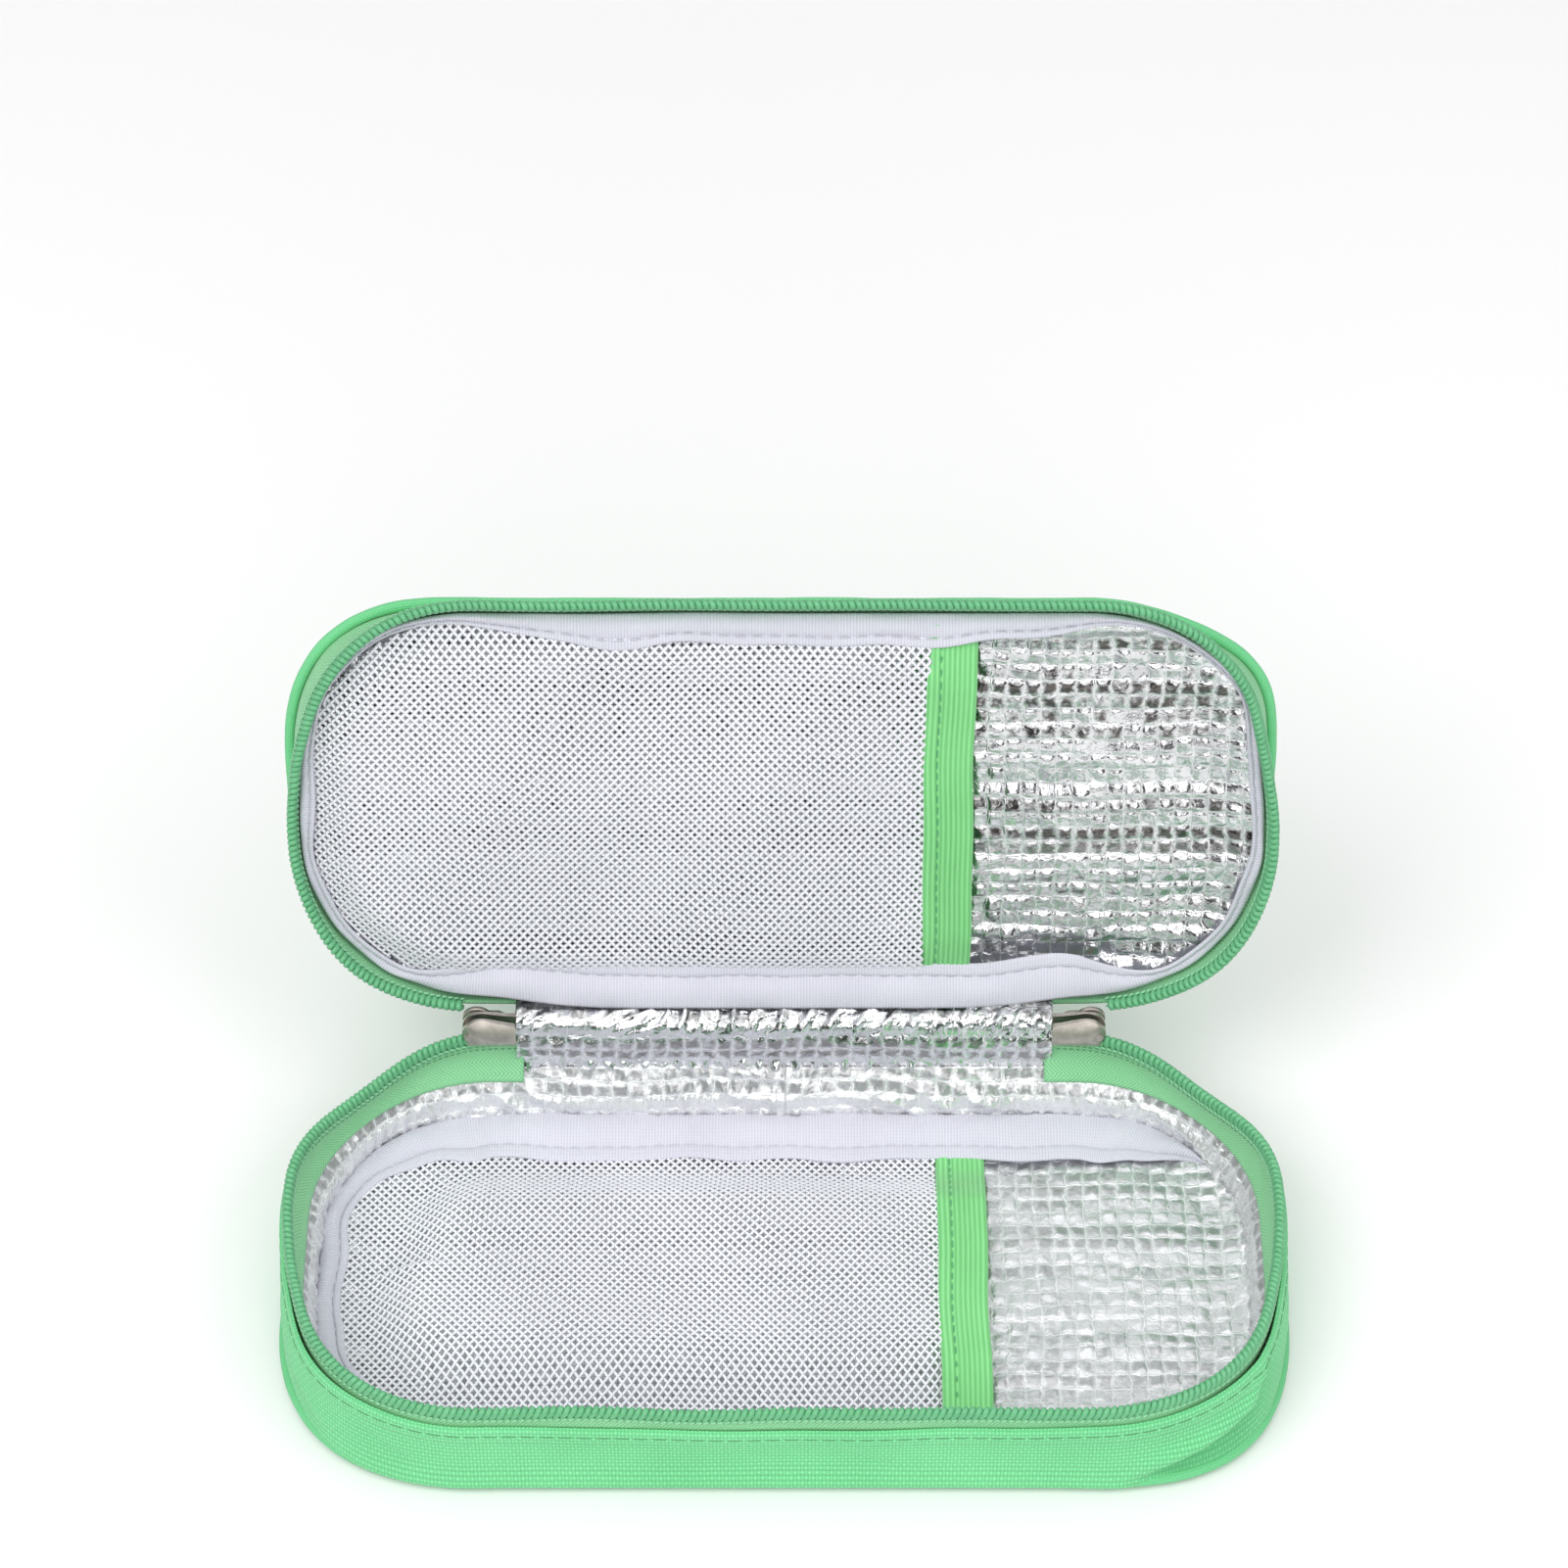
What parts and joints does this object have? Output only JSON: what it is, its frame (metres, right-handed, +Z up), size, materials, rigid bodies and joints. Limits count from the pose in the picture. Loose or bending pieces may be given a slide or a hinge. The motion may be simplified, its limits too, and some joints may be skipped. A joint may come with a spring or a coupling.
{
  "type": "insulin cooling case",
  "caption": "Soft zipped clamshell case with rounded ends, padded and lined with foil to keep insulin pens cool, with a net pocket and elastic band in base and lid.",
  "frame": {"origin": "middle of the underside of the bottom panel, on the surface that the case stands on", "axes": "+X along the length to the right, +Y from the front to the hinge at the back, +Z up"},
  "size_m": [0.203, 0.1371, 0.1199],
  "materials": {
    "oxford_cloth": "matte",
    "piping_cloth": "matte",
    "zipper_tape": "matte",
    "zipper_coil": "satin",
    "lining_foil": "gloss",
    "padding": "matte",
    "white_net": "matte",
    "white_binding": "matte",
    "green_elastic": "matte",
    "slider_metal": "satin"
  },
  "bodies": {
    "base": {"bottom_panel": "oxford_cloth", "bottom_piping": "piping_cloth", "side_wall": "oxford_cloth", "back_panel": "oxford_cloth", "floor_foam": "padding", "floor_lining": "lining_foil", "wall_foam": "padding", "wall_lining": "lining_foil", "base_hinge_lining": "lining_foil", "floor_binding": "white_binding", "base_zipper_tape": "zipper_tape", "base_zipper_coil": "zipper_coil", "base_mesh_pocket": "white_net", "base_pocket_elastic": "green_elastic"},
    "lid": {"top_panel": "oxford_cloth", "lid_piping": "piping_cloth", "lid_foam": "padding", "lid_lining": "lining_foil", "lid_binding": "white_binding", "lid_zipper_tape": "zipper_tape", "lid_zipper_coil": "zipper_coil", "lid_back_panel": "oxford_cloth", "lid_hinge_lining": "lining_foil", "lid_mesh_pocket": "white_net", "lid_pocket_elastic": "green_elastic"},
    "left_slider": {"left_slider_body": "slider_metal"},
    "right_slider": {"right_slider_body": "slider_metal"},
    "left_pull": {"left_pull": "slider_metal"},
    "right_pull": {"right_pull": "slider_metal"}
  },
  "joints": [
    {"name": "lid_hinge", "type": "hinge", "parent": "base", "child": "lid", "pos_m": [0, 0.0488, 0.027], "axis": [1, 0, 0], "range_deg": [-55, 105]},
    {"name": "left_slider_travel", "type": "hinge", "parent": "base", "child": "left_slider", "pos_m": [-0.06, 0.0085, 0.027], "axis": [0, 0, 1], "range_deg": [0, 90]},
    {"name": "right_slider_travel", "type": "hinge", "parent": "base", "child": "right_slider", "pos_m": [0.06, 0.0085, 0.027], "axis": [0, 0, -1], "range_deg": [0, 90]},
    {"name": "left_pull_swing", "type": "hinge", "parent": "left_slider", "child": "left_pull", "pos_m": [-0.0626, 0.0501, 0.027], "axis": [0, 1, 0], "range_deg": [-20, 90]},
    {"name": "right_pull_swing", "type": "hinge", "parent": "right_slider", "child": "right_pull", "pos_m": [0.0626, 0.0501, 0.027], "axis": [0, -1, 0], "range_deg": [-20, 90]}
  ]
}
